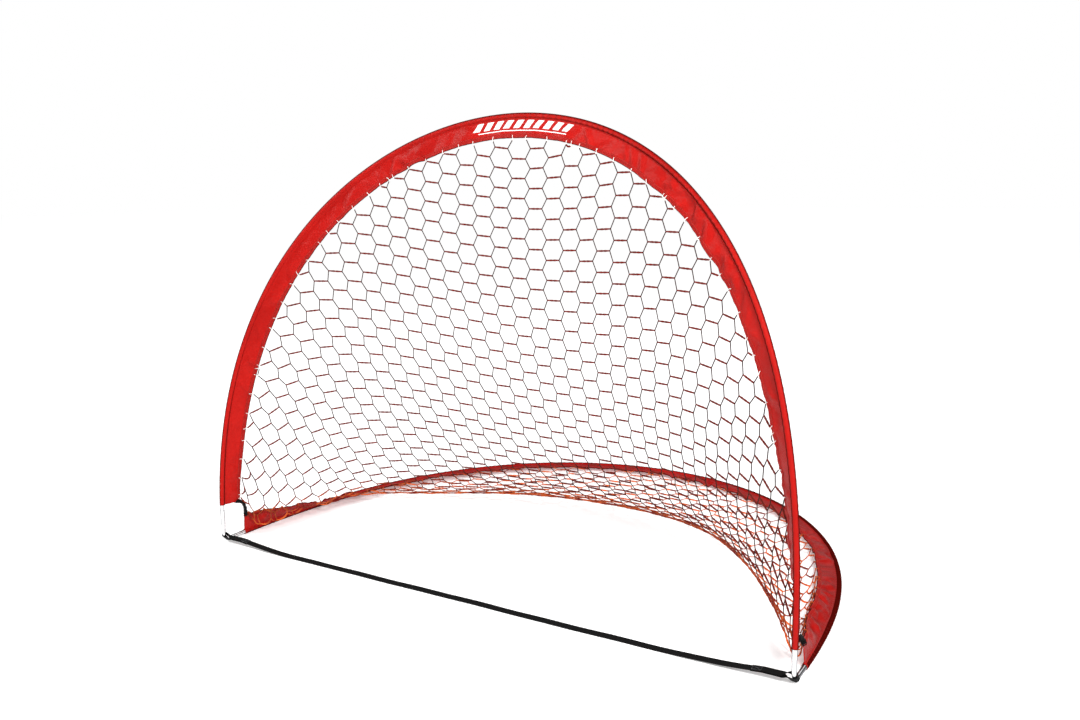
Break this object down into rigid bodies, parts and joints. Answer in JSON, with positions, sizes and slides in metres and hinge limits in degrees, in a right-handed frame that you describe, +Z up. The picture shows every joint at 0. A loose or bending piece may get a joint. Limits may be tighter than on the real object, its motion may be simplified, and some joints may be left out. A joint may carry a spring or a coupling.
{
  "type": "fold-flat practice goal",
  "caption": "Dome-shaped fold-flat practice goal: two sprung hoops in cloth sleeves joined by steel corner elbows, with a hanging hexagon-mesh net and a webbing strap along the goal line.",
  "frame": {"origin": "on the ground, on the goal line, midway between the two corner elbows, on the ground strap's underside", "axes": "+X along the goal mouth, +Y from the mouth to the back of the goal, +Z up"},
  "size_m": [1.8316, 1.3485, 1.2871],
  "materials": {
    "rod": "pultruded glass-fibre rod",
    "sleeve_cloth": "satin woven polyester",
    "hem_tape": "folded binding tape, double stitched",
    "tie_thread": "pale twisted thread",
    "netting": "knotless hexagon mesh, red-brown thread",
    "black_webbing": "woven webbing",
    "black_cord": "braided cord",
    "bright_steel": "bright plated tube",
    "ferrule_steel": "bright plated ferrule"
  },
  "bodies": {
    "base": {"elbow_left": "bright_steel", "elbow_right": "bright_steel", "front_ferrule_left": "ferrule_steel", "front_ferrule_right": "ferrule_steel", "rear_ferrule_left": "ferrule_steel", "rear_ferrule_right": "ferrule_steel", "front_rod_root_left": "rod", "front_rod_root_right": "rod", "rear_rod": "rod", "rear_sleeve": "sleeve_cloth", "rear_hem_binding": "hem_tape", "rear_net_ties": "tie_thread", "net_ground": "netting", "net_hanging": "netting", "corner_tie_left": "black_cord", "corner_tie_right": "black_cord", "ground_strap": "black_webbing", "strap_loop_left": "black_webbing", "strap_loop_right": "black_webbing"},
    "front_hoop": {"front_rod": "rod", "front_sleeve": "sleeve_cloth", "front_hem_binding": "hem_tape", "front_net_ties": "tie_thread"}
  },
  "joints": [
    {"name": "front_hoop_fold", "type": "hinge", "parent": "base", "child": "front_hoop", "pos_m": [0, 0.0014, 0.121], "axis": [-1, 0, 0], "range_deg": [0, 60], "stiffness_Nm_per_rad": 3, "deforming": ["net_hanging", "corner_tie_left", "corner_tie_right"]}
  ]
}
